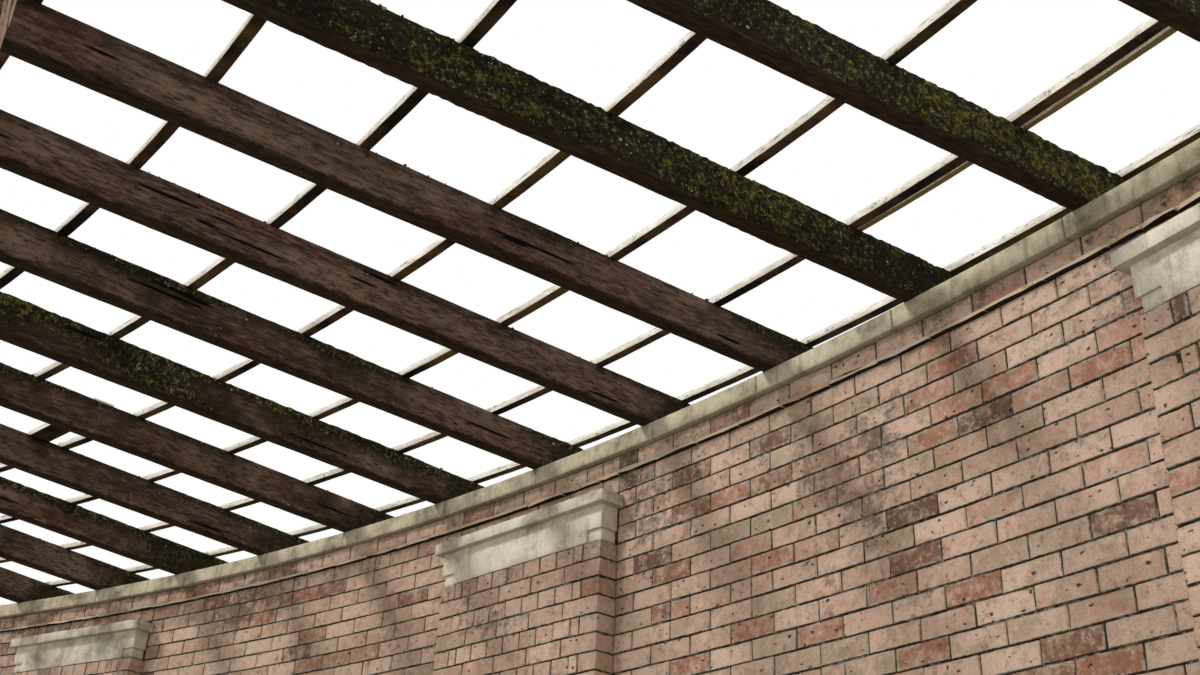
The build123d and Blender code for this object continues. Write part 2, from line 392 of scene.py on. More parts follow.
def brick_material(colours):
    """Handmade clay brick, sand-faced and kiln-fired: matt, mottled and pitted, some overburnt.

    Its arrises are ragged: dirt and painted joint shade darken them, and lime mortar smears them.
    """
    look = Look("handmade_clay_brick", 0.92)
    mark = look.mark("mark")
    spot = look.vector("ADD", look.place, look.vector("MULTIPLY", mark, PATTERN_SHIFT))
    look.body = look.ramp(look.parts(mark)["X"], (0.0, colours.brick_dark), (0.05, colours.brick_red),
                          (0.2, colours.brick_mid), (0.85, colours.brick_pale),
                          (0.97, colours.brick_buff))
    cloud = look.noise(0.09, 6, 0.72, spot)
    look.coat(colours.brick_pale, cloud, (0.5, 0.0), (0.66, 0.7))
    look.coat(colours.brick_red, cloud, (0.3, 0.7), (0.46, 0.0))
    look.coat(colours.brick_buff, look.noise(0.13, 8, 0.74, spot), (0.52, 0.0), (0.6, 0.7))
    grime = look.noise(0.035, 8, 0.8, spot)
    look.coat(colours.soot, grime, (0.34, 0.7), (0.45, 0.0))
    look.coat(colours.brick_pale, grime, (0.54, 0.0), (0.64, 0.75))
    grit = look.noise(0.005, 4, 0.7, spot)
    look.coat(colours.brick_dark, grit, (0.34, 0.5), (0.48, 0.0))
    look.coat(colours.mortar, grit, (0.6, 0.0), (0.7, 0.35))
    edge = look.parts(look.mark("edge"))
    from_end = look.math("SUBTRACT", edge["Y"], look.math("ABSOLUTE", edge["X"]))
    from_end = look.math("MAXIMUM", from_end, look.parts(look.mark("inward"))["X"])
    from_bed = look.math("SUBTRACT", (colours.course - colours.joint) / 2,
                         look.math("ABSOLUTE", edge["Z"]))
    near = look.math("DIVIDE", look.math("MINIMUM", from_end, from_bed), colours.ragged)
    smear = look.ramp(look.noise(0.05, 6, 0.7, spot), (0.5, 0.0), (0.56, 0.85))
    look.coat(colours.mortar, look.math("MULTIPLY", smear, look.ramp(near, (0.2, 1.0), (0.9, 0.0))))
    # Dark ragged rim along the arrises: partly dirt, partly painted shade of the recessed joints
    torn = look.math("ADD", near, look.noise(0.026, 7, 0.8, spot))
    rim_dirt_and_shade = look.ramp(torn, (0.47, 0.85), (0.66, 0.0))
    look.coat(colours.pit_and_shade, rim_dirt_and_shade)
    stretch = look.scaled(spot, (1, 1, 1.5))
    hole = look.cells(0.04, stretch)
    depth = look.math("ADD", look.math("MULTIPLY", look.noise(0.012, 6, 0.8, stretch), 1.1),
                      look.math("ADD", hole["Distance"],
                                look.math("MULTIPLY", look.parts(hole["Color"])["X"], 0.4)))
    crumbs = look.ramp(look.noise(0.018, 7, 0.82, stretch), (0.31, 0.9), (0.35, 0.0))
    pits = look.math("MAXIMUM", look.ramp(depth, (0.72, 0.9), (0.78, 0.0)), crumbs)
    look.coat(colours.pit_and_shade, pits)
    look.coat(colours.mortar, look.spots(0.034, 0.12, 0.25, spot))
    # Darker towards the top of the wall, under the coping
    rise = look.math("DIVIDE", look.parts(look.place)["Z"], TOP_DARKENING_HEIGHT)
    stain = look.math("ADD", look.noise(0.5, 9, 0.78), look.ramp(rise, (0.80, 0.0), (0.97, 0.1)))
    stain = look.math("SUBTRACT", stain, look.math("MULTIPLY", grime, 0.4))
    look.coat(colours.soot, stain, (0.37, 0.0), (0.47, 0.75))
    height = look.mix(look.math("MAXIMUM", pits, rim_dirt_and_shade), look.mix(0.5, cloud, grit), BLACK)
    return look.done(height, 4 * MM)


def tile_material(colours):
    """Fired clay creasing tile: ragged, faded, with yellow-green lichen along its edge."""
    look = Look("clay_creasing_tile", 0.92)
    own = look.parts(look.mark("mark"))["X"]
    look.body = look.ramp(own, (0.0, colours.brick_mid), (0.3, colours.tile_body),
                          (1.0, colours.mortar))
    cloud = look.noise(0.03, 7, 0.72)
    look.coat(colours.brick_dark, cloud, (0.32, 0.6), (0.4, 0.0))
    look.coat(colours.tile_lichen, look.noise(0.05, 8, 0.76), (0.57, 0.0), (0.63, 0.85))
    # Painted shade: faces of the tiles that look down take the dark pit colour
    look.coat(colours.pit_and_shade, look.math("LESS_THAN", look.facing_up, -0.6))
    return look.done(cloud, 3 * MM)


def mortar_material(colours):
    """Lime mortar, struck and long weathered: pale and sandy, mossy where damp, dark with dirt and
    painted shade.
    """
    look = Look("lime_mortar", 0.95)
    # Dark patches: partly dirt and damp, partly painted shade of the recessed joints; the dark specks
    # below add to it
    look.body = look.ramp(look.noise(0.25, 9, 0.76), (0.5, colours.mortar_dark_and_shade), (0.57, colours.mortar))
    look.coat(colours.joint_moss, look.noise(0.11, 8, 0.75), (0.5, 0.0), (0.56, 0.85))
    look.coat(colours.pit_and_shade, look.noise(0.03, 6, 0.78), (0.46, 0.9), (0.54, 0.0))
    return look.done(look.noise(0.003, 2), 1.5 * MM)


def stone_material(name, colours, body, pale, grey):
    """Sandstone, sawn and rubbed, long weathered: streaked with grey, lichen on its ledges."""
    look = Look(name, 0.9)
    cloud = look.noise(0.16, 9, 0.68)
    look.body = look.ramp(cloud, (0.34, grey), (0.5, body), (0.68, pale))
    streak = look.noise(0.03, 5, 0.6, look.scaled(look.place, (1, 1, 0.1)))
    look.coat(grey, streak, (0.54, 0.0), (0.68, 0.5))
    speck = look.noise(0.006, 3, 0.7)
    look.coat(colours.stone_dark, speck, (0.34, 0.4), (0.46, 0.0))
    # Painted shade: faces that look down, under the ledges, take a dark olive colour
    down = look.math("LESS_THAN", look.facing_up, -0.6)
    look.coat(colours.soffit_shade, look.math("MULTIPLY", down, 0.6))
    growth = look.ramp(look.noise(0.028, 8, 0.76), (0.46, 0.0), (0.55, 0.9))
    ledge = look.math("GREATER_THAN", look.facing_up, 0.35)
    look.coat(colours.lichen, look.math("MULTIPLY", growth, ledge))
    return look.done(look.mix(0.4, cloud, speck), 2 * MM)


def timber_material(name, growth, colours, underside=1.0):
    """Old sawn timber: fibres stand proud where rain has worn the soft grain away.

    underside is how much of the two colours below shows on faces that look down: painted shade,
    with damp. Rain stains, moss and lichen lie over the wood where its wear attribute says so.
    """
    dark, mid, pale, red, under, bare = colours
    look = Look(name, 0.9, "grain")

    def grain(size, detail, roughness, *scale):
        """Noise drawn out along the timber, by the scales along and across it."""
        return look.noise(size, detail, roughness, look.scaled(look.place, (*scale, scale[-1])))

    wear = look.parts(look.mark("wear"))
    look.body = look.ramp(grain(0.5, 6, 0.66, 0.4, 3), (0.36, dark), (0.48, mid), (0.66, pale))
    look.coat(red, grain(0.35, 5, 0.6, 0.5, 2), (0.54, 0.0), (0.64, 0.7))
    fibre = grain(0.012, 6, 0.74, 0.16, 1)
    look.coat(dark, fibre, (0.4, 0.85), (0.49, 0.0))
    look.coat(pale, fibre, (0.52, 0.0), (0.61, 0.7))
    look.coat(under, grain(0.02, 7, 0.8, 0.5, 1), (0.37, 0.8), (0.44, 0.0))
    check = look.ramp(grain(0.008, 3, 0.6, 0.04, 1), (0.29, 1.0), (0.33, 0.0))
    look.coat(under, look.math("MULTIPLY", check, 0.7))
    look.coat(growth.stain, look.vary(wear["X"], look.noise(0.12, 6, 0.7), 0.8), (0.2, 0.0), (0.48, 0.92))
    # Painted shade, with some damp: faces that look down take the two dark underside colours
    down = look.ramp(look.math("MULTIPLY", look.facing_up, -1.0), (0.6, 0.0), (0.8, underside))
    below = look.mix(look.ramp(look.noise(0.3, 5), (0.42, 0.0), (0.62, 1.0)), under, bare)
    look.coat(below, down)
    wet = look.mix(look.ramp(fibre, (0.45, 0.0), (0.6, 0.55)), under, bare)
    look.coat(wet, look.vary(wear["Y"], look.noise(0.07, 8, 0.78)), (0.3, 0.0), (0.5, 0.9))
    level = look.vary(wear["X"], look.noise(0.045, 9, 0.82))
    moss = look.ramp(level, (0.44, 0.0), (0.52, 1.0))
    tuft = look.noise(0.018, 7, 0.84)
    green = look.ramp(tuft, (0.43, growth.crust_dark), (0.51, growth.moss_dark), (0.59, growth.moss))
    grey = look.ramp(tuft, (0.46, growth.crust_dark), (0.56, growth.crust), (0.66, growth.lichen_pale))
    patch = look.math("ADD", look.noise(0.09, 4, 0.65), look.math("MULTIPLY", wear["X"], 0.27))
    look.coat(look.mix(look.ramp(patch, (0.72, 0.0), (0.8, 1.0)), grey, green), moss)
    shade = look.ramp(grain(0.3, 7, 0.7, 0.6, 1), (0.4, 0.85), (0.54, 0.0))
    look.coat(growth.crust_dark, look.math("MULTIPLY", moss, shade))
    sparse = look.math("MULTIPLY", look.ramp(level, (0.3, 0.0), (0.62, 1.0)),
                       look.ramp(look.noise(0.05, 5, 0.7), (0.46, 0.0), (0.57, 1.0)))
    look.coat(growth.lichen_pale, look.math("MULTIPLY", look.spots(0.013, 0.24, 0.34), sparse))
    # Painted shade: the inside of the drying cracks is coated near black
    look.coat(growth.crack, wear["Z"])
    return look.done(look.mix(moss, look.mix(check, fibre, BLACK), tuft), 4 * MM)


def moss_material(colours):
    """Cushion moss and crusts of lichen on damp timber: matt, from near black to pale grey."""
    look = Look("cushion_moss", 1.0)
    own = look.parts(look.mark("mark"))["X"]
    look.body = look.ramp(own, (0.0, colours.crust_dark), (0.35, colours.moss_dark),
                          (0.6, colours.moss), (0.8, colours.crust), (1.0, colours.lichen_pale))
    return look.done(look.noise(0.002, 2), 2 * MM)


# Brickwork

class Run:
    """A brick face in plan, as a curve round a centre or a straight line, that looks one way."""

    def __init__(self, start, end, facing=1, centre=None):
        self.start, self.end, self.facing, self.centre = Vector(start), Vector(end), facing, centre
        self.length = (self.end - self.start).length
        if centre is not None:
            self.radius = (self.start - centre).length
            self.first = math.atan2(*(self.start - centre).yx)
            self.turn = math.atan2(*(self.end - centre).yx) - self.first
            self.length = abs(self.turn) * self.radius

    def at(self, along):
        """Point and outward direction of the face at a length along the run."""
        if self.centre is None:
            step = (self.end - self.start).normalized()
            return self.start + step * along, Vector((step.y, -step.x)) * self.facing
        angle = self.first + self.turn * along / self.length
        out = Vector((cos(angle), sin(angle)))
        return self.centre + out * self.radius, out * self.facing


class Masonry:
    """Bricks laid along runs, kept until they are made one mesh."""

    def __init__(self, look, seed):
        self.look, self.dice = look, random.Random(seed)
        self.matrices, self.marks = [], []

    def lay(self, run, foot, pieces, depth, height, joint, proud=0.0):
        """Lays one course: pieces are the places and lengths of its bricks along the run."""
        dice, error = self.dice, self.look.unevenness
        for start, piece in pieces:
            point, out = run.at(start + piece / 2)
            out = Vector((out.x, out.y, 0))
            along = out.cross(DOWN)
            tilt = Matrix.Rotation(dice.gauss(0, self.look.tilt), 3, out)
            axes = tilt @ Matrix((along, out, UP)).transposed()
            matrix = (axes @ Matrix.Diagonal((piece - joint, depth, height - joint))).to_4x4()
            matrix.translation = Vector((point.x, point.y, foot + height / 2))
            matrix.translation += out * (proud + dice.gauss(0, error)) + UP * dice.gauss(0, error)
            self.matrices.append(np.array(matrix))
            self.marks.append((dice.random(), dice.random(), dice.random()))

    def mesh(self, name, shapes):
        """All laid bricks as one mesh, with each point's place on its own brick.

        edge is the place along the brick, half the brick's length and the height from its
        middle, and inward is how far behind its face the point lies.
        """
        variants = [self.dice.randrange(len(shapes[0])) for _ in self.matrices]
        matrices = np.array(self.matrices)
        sizes = np.linalg.norm(matrices[:, :3, :3], axis=1)[:, None]
        edge = shapes[0][variants] * sizes
        inward = -edge[:, :, 1:2]
        edge[:, :, 1] = sizes[:, :, 0] / 2
        return copies(name, shapes, variants, matrices, mark=np.array(self.marks), edge=edge,
                      inward=inward)


def brick_shapes(count, wear, rough):
    """Unit bricks with worn arrises: x and z from -0.5 to 0.5, the face at y 0, the back at -1.

    rough is the typical error of their corners in x, y and z.
    """
    made = []
    for number in range(count):
        dice = random.Random(number)
        bm = bmesh.new()
        bmesh.ops.create_cube(bm, size=1)
        bmesh.ops.translate(bm, vec=(0, -0.5, 0), verts=bm.verts)
        long_edges = [e for e in bm.edges if abs(e.verts[0].co.x - e.verts[1].co.x) > 0.5]
        bmesh.ops.subdivide_edges(bm, edges=long_edges, cuts=2)
        arrises = [e for e in bm.edges
                   if all(v.co.y > -0.1 for v in e.verts) and e.calc_face_angle(0) > 1]
        round_edges(bm, arrises, wear)
        front = [v for v in bm.verts if v.co.y > -0.3]
        for vert in front:
            vert.co += Vector([dice.gauss(0, error) for error in rough])
        if number % 3 == 0:
            chip = dice.choice([v for v in front if abs(v.co.z) > 0.4])
            chip.co += Vector((0, -0.05, -0.07 * math.copysign(1, chip.co.z)))
        made.append(bm)
    return shape_arrays(made)


def course_of(span, brick, shifted, dice=None, pairs=0.0):
    """Places and lengths of a course of stretchers, in every other course half a brick on.

    Now and then a pair of headers stands in for a stretcher.
    """
    count = max(1, round(span / brick * 2)) / 2
    unit = span / count
    sizes = [unit / 2] if shifted else []
    while sum(sizes) < span - unit * 0.75:
        sizes += [unit / 2] * 2 if dice and dice.random() < pairs else [unit]
    if span - sum(sizes) > unit * 0.25:
        sizes.append(span - sum(sizes))
    return list(zip(np.cumsum([0.0] + sizes[:-1]), sizes))


def header_course(span, brick):
    """Places and lengths of a course of headers, with a closer beside the one at each end."""
    count = round(span / brick)
    unit = span / count
    inner = [unit / 2] * (2 * count - 3)
    sizes = [unit / 2, unit / 4] + inner + [unit / 4, unit / 2]
    return list(zip(np.cumsum([0.0] + sizes[:-1]), sizes))


CHORD_ERROR = 3 * MM  # how far the flat facets of a curved face may lie off its radius


def faces_of_wall(points):
    """Runs along the two curved faces of a length of wall, from its corners."""
    radius, angle = polar(points)
    runs = []
    for face, facing in ((radius.min(), -1), (radius.max(), 1)):
        on_face = np.abs(radius - face) < CHORD_ERROR
        ends = [CENTRE + Vector((cos(a), sin(a))) * face
                for a in (angle[on_face].min(), angle[on_face].max())]
        runs.append(Run(*ends, facing, CENTRE))
    return runs


def brick_runs(node, look):
    """Runs of a node, each with its courses, its bricks' depth, and which courses are headers."""
    points, half_brick = corners(node), look.half_brick
    courses = round((COPING_FOOT - look.creasing) / look.course)
    if node in PANELS:
        return [(run, range(courses), half_brick, None) for run in faces_of_wall(points)]
    low, high = points.min(0), points.max(0)
    axes = upright_axes((low + high) / 2)
    foot = points[points[:, 2] < low[2] + WELD] @ np.array(axes.to_3x3())
    half_x, half_y = (foot.max(0) - foot.min(0))[:2] / 2

    def straight(x_start, y_start, x_end, y_end):
        return Run((axes @ Vector((x_start, y_start, 0))).xy, (axes @ Vector((x_end, y_end, 0))).xy)

    front = straight(-half_x, -half_y, half_x, -half_y)
    back = straight(half_x, half_y, -half_x, half_y)
    if node in PIERS:
        courses, side_y = range(round(high[2] / look.course)), half_y - half_brick
        right = straight(half_x, -side_y, half_x, side_y)
        left = straight(-half_x, side_y, -half_x, -side_y)
        return [(front, courses, half_brick, 1), (back, courses, half_brick, 1),
                (right, courses, half_brick, 0), (left, courses, half_brick, 0)]
    cap_foot, cap_top = (corner.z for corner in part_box(node.replace("ter_", "ter_caps_")))
    under, over = range(round(cap_foot / look.course)), range(round(cap_top / look.course), courses)
    wall = points[points[:, 2] > cap_top]
    radius, _ = polar(wall)
    half_wall = (radius.max() - radius.min()) / 2
    runs = [(face, under, half_y - half_wall, 1) for face in (front, back)]
    runs += [(run, over, half_brick, None) for run in faces_of_wall(wall)]
    if node in (PILASTERS[0], PILASTERS[-1]):
        x = half_x if node == PILASTERS[0] else -half_x
        for half, levels in ((half_wall, range(over.start)), (half_wall - half_brick, over)):
            y = half * math.copysign(1, x)
            runs.append((straight(x, -y, x, y), levels, half_brick, None))
    return runs


def shrink(bm, depth):
    """Moves every upright face of a solid inwards by a depth, its corners with them."""
    bm.normal_update()
    moves = [(v, v.normal * v.calc_shell_factor() * -depth) for v in bm.verts]
    for vert, move in moves:
        vert.co += Vector((move.x, move.y, 0))


def lay_bricks(node, seed, look, materials, brick_set, tile_set):
    """Bricks, creasing tiles and mortar of one wall panel, pilaster or pier."""
    bricks, tiles = Masonry(look, seed), Masonry(look, seed + 100)
    courses = round((COPING_FOOT - look.creasing) / look.course)
    for run, levels, depth, headers in brick_runs(node, look):
        for course in levels:
            foot = course * look.course
            if course == courses - 1:
                tiles_along = course_of(run.length, look.tile, seed % 2)
                tiles.lay(run, foot, tiles_along, look.half_brick + look.tile_proud, look.creasing,
                          look.joint / 3, look.tile_proud)
                foot += look.creasing
            if headers is not None and course % 2 == headers:
                pieces = header_course(run.length, look.brick)
            else:
                shifted = headers is None and course % 2 == 1
                pairs = look.header_pairs if headers is None and run.centre else 0
                pieces = course_of(run.length, look.brick, shifted, bricks.dice, pairs)
            bricks.lay(run, foot, pieces, depth, look.course, look.joint)
    brick, tile, mortar = materials
    finish_piece(f"bricks_{node}", bricks.mesh(f"bricks_{node}", brick_set), brick, 30, [node])
    if tiles.matrices:
        finish_piece(f"creasing_{node}", tiles.mesh(f"creasing_{node}", tile_set), tile, 30)
    core = merged(node)
    shrink(core, look.recess)
    finish_piece(f"mortar_{node}", core, mortar)


# Stonework

CHIPPED = 0.5  # turn of an edge, in radians, over which it loses chips


def weather(bm, grit, chip, seed):
    """Wears a stone: its faces get uneven, and its sharp edges lose small chips.

    Each factor on a place is about how many lumps go to a metre.
    """
    bm.normal_update()
    shift = Vector((seed * 1.7, seed * 0.9, seed * 2.3))
    moves = []
    for vert in bm.verts:
        place = vert.co + shift
        move = noise.noise_vector(place * 12) * grit
        if max((e.calc_face_angle(0) for e in vert.link_edges), default=0) > CHIPPED:
            move -= vert.normal * max(0.0, noise.noise(place * 14) + 0.05) * chip
        moves.append(move)
    for vert, move in zip(bm.verts[:], moves):
        vert.co += move


def worn_stone(bm, axes, step, look, seed):
    """Rounds the edges of a stone, cuts its faces up and weathers it."""
    sharp = [e for e in bm.edges if e.calc_face_angle(0) > SHARP]
    round_edges(bm, sharp, look.arris, 2)
    cut_up(bm, (step, step, step), axes)
    weather(bm, look.grit, look.chip, seed)


def coping_stones(node, look, dice):
    """The stones of one length of coping, with open joints between them."""
    whole = merged(node)
    points = corners(node)
    _, angle = polar(points)
    first, last = angle.min(), angle.max()
    count = max(1, round((last - first) / RAFTER_STEP))
    bm = bmesh.new()
    joints = [first + (last - first) * (i / count) for i in range(count + 1)]
    joints[1:-1] = [a + dice.uniform(-1, 1) * RAFTER_STEP * look.joint_error for a in joints[1:-1]]
    for number, (start, end) in enumerate(zip(joints[:-1], joints[1:])):
        stone = whole.copy()
        for angle, side in ((start, 1), (end, -1)):
            along = Vector((-sin(angle), cos(angle), 0)) * side
            point = CENTRE.to_3d() + along * (look.stone_joint / 2)
            cut(stone, point, along, clear_inner=True)
        bmesh.ops.holes_fill(stone, edges=[e for e in stone.edges if e.is_boundary], sides=0)
        middle = (start + end) / 2
        axes = upright_axes(CENTRE + Vector((cos(middle), sin(middle)))).to_3x3()
        worn_stone(stone, axes, look.stone_step, look, dice.random() * 50)
        append(bm, stone)
    whole.free()
    return bm


# Timber

# Drying cracks: radii of the two ends, and height over the middle of the rafter
CRACKS = {
    "rafter_4": ((12.18, 12.25, 0.010), (13.66, 14.06, -0.015)),
    "rafter_5": ((12.585, 12.835, 0.028), (12.875, 12.965, 0.021), (12.825, 12.905, -0.020),
                 (12.915, 13.205, -0.034), (13.475, 13.605, 0.012), (13.535, 13.685, 0.058)),
    "rafter_6": ((12.945, 13.215, 0.050), (13.105, 13.255, 0.040)),
}
# Radii, lengths and heights that a bare rafter's other cracks are drawn from
CRACK_RADII, CRACK_LENGTHS, CRACK_HEIGHTS = (11.4, 15.2), (0.1, 0.35), (-0.06, 0.06)
# How much moss each rafter bears
RAFTER_GROWTH = (0.95, 1.0, 1.0, 0.24, 0.18, 0.34, 0.56, 0.42, 0.36, 0.4, 0.3, 0.4, 0.3, 0.4, 0.3, 0.3)
MOSSY = 0.8  # growth over which a rafter is covered all over
BEAM_GROWTH = 0.3


def laid_flat(bm, points, outward=False):
    """Turns a timber into its own frame, and gives the matrix that puts it back."""
    matrix, _ = lengthwise(points, outward)
    bmesh.ops.transform(bm, matrix=matrix.inverted(), verts=bm.verts)
    return matrix


def dark_timber(name, look):
    """Material of the heavy timbers."""
    # 0.95 is how strongly the undersides take their painted shade
    return timber_material(name, look, (look.rafter_dark, look.rafter_mid, look.rafter_pale,
                                        look.rafter_red, look.rafter_damp_grain_and_shade, look.rafter_bare_damp_and_shade), 0.95)


def open_crack(bm, side, start, end, height, look):
    """Opens a crack in the side of a timber, along the grain, dark inside."""
    # The material paints the marked inside of the crack near black, as painted shade
    cracked = bm.verts.layers.float.get("cracked") or bm.verts.layers.float.new("cracked")
    for offset in (-2, -1, 0, 1, 2):
        cut(bm, UP * (height + offset * look.crack_width), UP)
    for vert in bm.verts:
        lift = (vert.co.z - height) / look.crack_width
        if abs(lift) < 1.1 and vert.co.y * side > 0 and start < vert.co.x < end:
            share = (vert.co.x - start) / (end - start)
            vert.co.z = height + lift * look.crack_width * (0.25 + 0.75 * sin(pi * share))
            vert[cracked] = 1.0
            if abs(lift) < 0.1:
                vert.co.y -= side * look.crack_depth * sin(pi * share) ** 0.5


def worn_timber(bm, matrix, seed, look, growth, steps, end_growth=0.0, dampness=1.0):
    """Wears one timber in its own frame and puts it in its place.

    growth is how much moss it bears, end_growth how much more near its outer end, and dampness
    how dark its edges and its end are. Moss keeps off the lower edge and the underside. Each
    factor on a place is about how many lumps go to a metre.
    """
    size = [max(v.co[i] for v in bm.verts) for i in range(3)]
    cut_up(bm, steps)
    offset = Vector((seed * 3.7, seed * 1.3, seed * 0.7))
    grain = bm.verts.layers.float_vector.new("grain")
    wear = bm.verts.layers.float_vector.new("wear")
    cracked = bm.verts.layers.float.get("cracked")
    bm.normal_update()
    moves = []
    for vert in bm.verts:
        place = vert.co.copy()
        vert[grain] = place + offset
        rise = place.z / size[2]
        patch = noise.noise(Vector((place.x * 1.6, place.y * 5, place.z * 5)) + offset)
        near_end = max(0.0, 1 - (size[0] - place.x) / look.damp_end)
        foot = max(0.0, -rise - 0.6)
        grown = growth * (0.8 + 0.6 * patch - 0.9 * foot) + end_growth * near_end
        grown += dampness * max(0.0, rise - 0.4) * (0.4 + 0.6 * patch)
        grown = min(1.0, max(0.0, grown)) * (1.0 if vert.normal.z > -0.5 else 0.3)
        damp = max(0.0, 0.34 * rise + 0.55 * patch, 0.8 * near_end, 1.5 * foot) * dampness
        damp = max(damp, 0.6 * growth ** 3)
        vert[wear] = (grown, damp, vert[cracked] if cracked else 0.0)
        sway = noise.noise_vector(place * 6 + offset) * look.sway
        fine = noise.noise_vector(place * 45 + offset) * look.fine
        lumps = max(0.0, grown - 0.4) * (0.5 + noise.noise(place * 70 + offset)) * look.crust_height
        moves.append(sway + fine + vert.normal * lumps)
    for vert, move in zip(bm.verts[:], moves):
        vert.co += move
    bmesh.ops.transform(bm, matrix=matrix, verts=bm.verts)


def moss_shapes(count):
    """Small uneven cushions of unit radius."""
    made = []
    for number in range(count):
        bm = bmesh.new()
        bmesh.ops.create_icosphere(bm, subdivisions=1, radius=1)
        for vert in bm.verts:
            vert.co *= 1 + 0.35 * noise.noise(vert.co * 1.5 + Vector((number, 0, 0)))
        made.append(bm)
    return shape_arrays(made)


def moss_on_rafter(node, growth, dice, look):
    """Places and sizes of the moss cushions on one rafter, most along its upper edges."""
    matrix, size = lengthwise(corners(node), outward=True)
    count = round(look.cushions * (0.1 + 0.9 * growth ** 3))
    matrices, marks = [], []
    while len(matrices) < count:
        x = dice.uniform(-0.5, 0.5) * size[0]
        side = dice.choice((-1, 1))
        on_top = dice.random() < look.moss_on_top
        drop = dice.random() ** (1.5 + 3 * (1 - growth))
        z = size[2] / 2 if on_top else size[2] * (0.5 - drop * 0.95)
        y = dice.uniform(-0.5, 0.5) * size[1] if on_top else side * size[1] / 2
        patch = noise.noise(Vector((x * 3, z * 9, y * 9 + size[1])))
        if patch + dice.uniform(-0.3, 0.5) < 0:
            continue
        radius = look.cushion * dice.lognormvariate(0, 0.4)
        spin = Matrix.Rotation(dice.uniform(0, 2 * pi), 3, dice.choice("XYZ"))
        flat = Matrix.Diagonal((1, 1, 0.5) if on_top else (1, 0.5, 1))
        local = (flat @ spin * radius).to_4x4()
        local.translation = Vector((x, y, z))
        matrices.append(np.array(matrix @ local))
        marks.append((dice.random(), 0, 0))
    return matrices, marks


# Sizes and colours

class BrickworkLook(bpy.types.PropertyGroup):
    """Sizes and colours of the brickwork."""
    brick: length(0.238, "Length of a brick with its joint")
    half_brick: length(0.112, "Width of a brick")
    course: length(0.085, "Height of a brick with its bed joint")
    joint: length(0.006, "Width of a mortar joint")
    recess: length(0.0065, "How far the mortar lies behind the bricks")
    # The dark edge is partly dirt and partly painted shade of the joints
    ragged: length(0.016, "Width of the dirty, ragged edge of a brick")
    unevenness: length(0.0008, "Typical error of a brick's place")
    tilt: factor(0.004, "Typical error of a brick's level, in radians")
    header_pairs: factor(0.03, "Share of stretchers made of two headers")
    creasing: length(0.018, "Thickness of the tile course")
    tile: length(0.27, "Length of a creasing tile")
    tile_proud: length(0.018, "How far the tiles stand out of the wall")
    brick_dark: colour("#5f4a3e", "Overburnt brick")
    brick_red: colour("#9a6c56", "Red brick")
    brick_mid: colour("#b6947f", "Most of the bricks")
    brick_pale: colour("#d0b39e", "Pale pink brick")
    brick_buff: colour("#a69079", "Crumbled buff brick")
    tile_body: colour("#d6bb9f", "Creasing tile")
    # Pits in the bricks; also painted shade under the tiles and along the bricks' rims
    pit_and_shade: colour("#2a221d", "Pits in the bricks")
    soot: colour("#574a41", "Dark weathering")
    mortar: colour("#aba192", "Dry mortar")
    # Partly painted shade of the recessed joints
    mortar_dark_and_shade: colour("#3c352e", "Damp and dirty mortar")
    joint_moss: colour("#6f6632", "Moss in the joints")
    tile_lichen: colour("#8f8a4a", "Lichen on the creasing tiles")


class StoneLook(bpy.types.PropertyGroup):
    """Sizes and colours of the stonework."""
    cap: colour("#d5cbb7", "Body of the caps")
    cap_pale: colour("#e3dac8", "Clean stone of the caps")
    cap_grey: colour("#9b9483", "Weathered stone of the caps")
    coping: colour("#bbb095", "Body of the coping")
    coping_pale: colour("#d2c8b1", "Clean stone of the coping")
    coping_grey: colour("#7a7462", "Weathered stone of the coping")
    stone_dark: colour("#4f4a3d", "Dirt in the pores of the stone")
    # Painted shade under the ledges, laid on the faces that look down
    soffit_shade: colour("#6b654c", "Algae under the ledges")
    lichen: colour("#8b8757", "Lichen on the ledges")
    stone_joint: length(0.004, "Joint between two coping stones")
    joint_error: factor(0.1, "How far joints lie off the rafters, in rafter steps")
    stone_step: length(0.045, "Longest stretch of a stone's faces")
    arris: length(0.004, "Width of a worn edge")
    grit: length(0.0009, "How uneven the faces are")
    chip: length(0.006, "Depth of the chips out of the edges")


